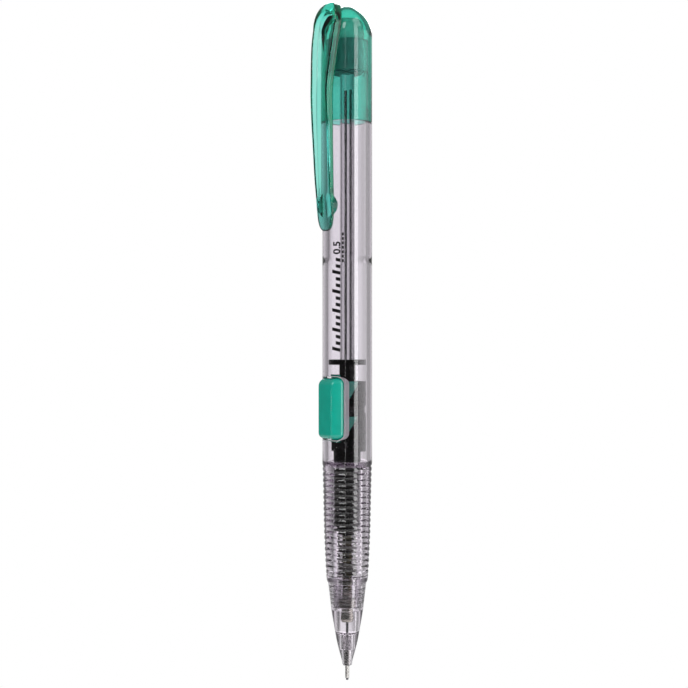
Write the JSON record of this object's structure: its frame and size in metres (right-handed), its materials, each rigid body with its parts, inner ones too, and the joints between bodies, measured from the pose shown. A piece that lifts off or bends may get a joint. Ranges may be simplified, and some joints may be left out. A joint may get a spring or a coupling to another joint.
{
  "type": "side-advance lead holder",
  "caption": "Clear-barrelled lead holder with a side press button, ramped slider, screw-on front cone and a tinted cap with a long clip.",
  "frame": {"origin": "centre of the lead sleeve's free end, on the barrel's axis", "axes": "+Z along the axis towards the cap, -Y towards the clip and the button, X across them"},
  "size_m": [0.011, 0.0138, 0.1479],
  "materials": {
    "clear_plastic": "clear moulded, polished",
    "tinted_plastic": "clear green tint, polished",
    "button_plastic": "opaque green, moulded gloss",
    "black_acetal": "black, moulded satin",
    "tube_plastic": "natural, extruded",
    "sleeve_steel": "drawn and turned",
    "spring_wire": "drawn wire",
    "chuck_brass": "turned",
    "retainer_rubber": "moulded, milky",
    "graphite": "extruded polymer lead",
    "eraser_vinyl": "white, chalky"
  },
  "bodies": {
    "barrel": {"barrel": "clear_plastic"},
    "button": {"side_button": "button_plastic"},
    "carriage": {"cam_slider": "black_acetal", "lead_tube": "tube_plastic", "chuck_stem": "chuck_brass", "return_spring": "spring_wire", "spare_lead_a": "graphite", "spare_lead_b": "graphite"},
    "clutch": {"clutch_ring": "chuck_brass"},
    "jaw_a": {"chuck_jaw_a": "chuck_brass"},
    "jaw_b": {"chuck_jaw_b": "chuck_brass"},
    "jaw_c": {"chuck_jaw_c": "chuck_brass"},
    "lead": {"loaded_lead": "graphite"},
    "nose_tube": {"lead_sleeve": "sleeve_steel", "lead_retainer": "retainer_rubber"},
    "nose": {"front_cone": "clear_plastic"},
    "eraser": {"eraser": "eraser_vinyl"},
    "cap": {"clip_cap": "tinted_plastic"}
  },
  "joints": [
    {"name": "button_press", "type": "slide", "parent": "barrel", "child": "button", "axis": [0, 1, 0], "range_m": [0, 0.0015], "stiffness_N_per_m": 600, "springref_m": -0.0005},
    {"name": "carriage_advance", "type": "slide", "parent": "barrel", "child": "carriage", "axis": [0, 0, -1], "range_m": [0, 0.00202], "deforming": ["return_spring"]},
    {"name": "clutch_shift", "type": "slide", "parent": "carriage", "child": "clutch", "axis": [0, 0, 1], "range_m": [0, 0.00142]},
    {"name": "jaw_a_open", "type": "hinge", "parent": "carriage", "child": "jaw_a", "pos_m": [0, 0.00075, 0.0195], "axis": [1, 0, 0], "range_deg": [0, 1]},
    {"name": "jaw_b_open", "type": "hinge", "parent": "carriage", "child": "jaw_b", "pos_m": [-0.00065, -0.00038, 0.0195], "axis": [-0.5, 0.866, 0], "range_deg": [0, 1]},
    {"name": "jaw_c_open", "type": "hinge", "parent": "carriage", "child": "jaw_c", "pos_m": [0.00065, -0.00038, 0.0195], "axis": [-0.5, -0.866, 0], "range_deg": [0, 1]},
    {"name": "lead_feed", "type": "slide", "parent": "clutch", "child": "lead", "axis": [0, 0, -1], "range_m": [0, 0.02]},
    {"name": "nose_draw", "type": "slide", "parent": "barrel", "child": "nose_tube", "axis": [0, 0, -1], "range_m": [0, 0.0045]},
    {"name": "nose_turn", "type": "hinge", "parent": "nose_tube", "child": "nose", "pos_m": [0, 0, 0.01], "axis": [0, 0, -1], "range_deg": [0, 1801]},
    {"name": "cap_pull", "type": "slide", "parent": "barrel", "child": "cap", "axis": [0, 0, 1], "range_m": [0, 0.03]},
    {"name": "eraser_pull", "type": "slide", "parent": "barrel", "child": "eraser", "axis": [0, 0, 1], "range_m": [0, 0.0127]}
  ],
  "couplings": [
    {"joint": "carriage_advance", "follows": "button_press", "ratio": 1.34},
    {"joint": "clutch_shift", "follows": "button_press", "ratio": 0.94},
    {"joint": "jaw_a_open", "follows": "button_press", "rad_per_m": 11.6},
    {"joint": "jaw_b_open", "follows": "button_press", "rad_per_m": 11.6},
    {"joint": "jaw_c_open", "follows": "button_press", "rad_per_m": 11.6},
    {"joint": "nose_turn", "follows": "nose_draw", "rad_per_m": 6981.3},
    {"joint": "eraser_pull", "follows": "cap_pull", "ratio": 0.42}
  ]
}
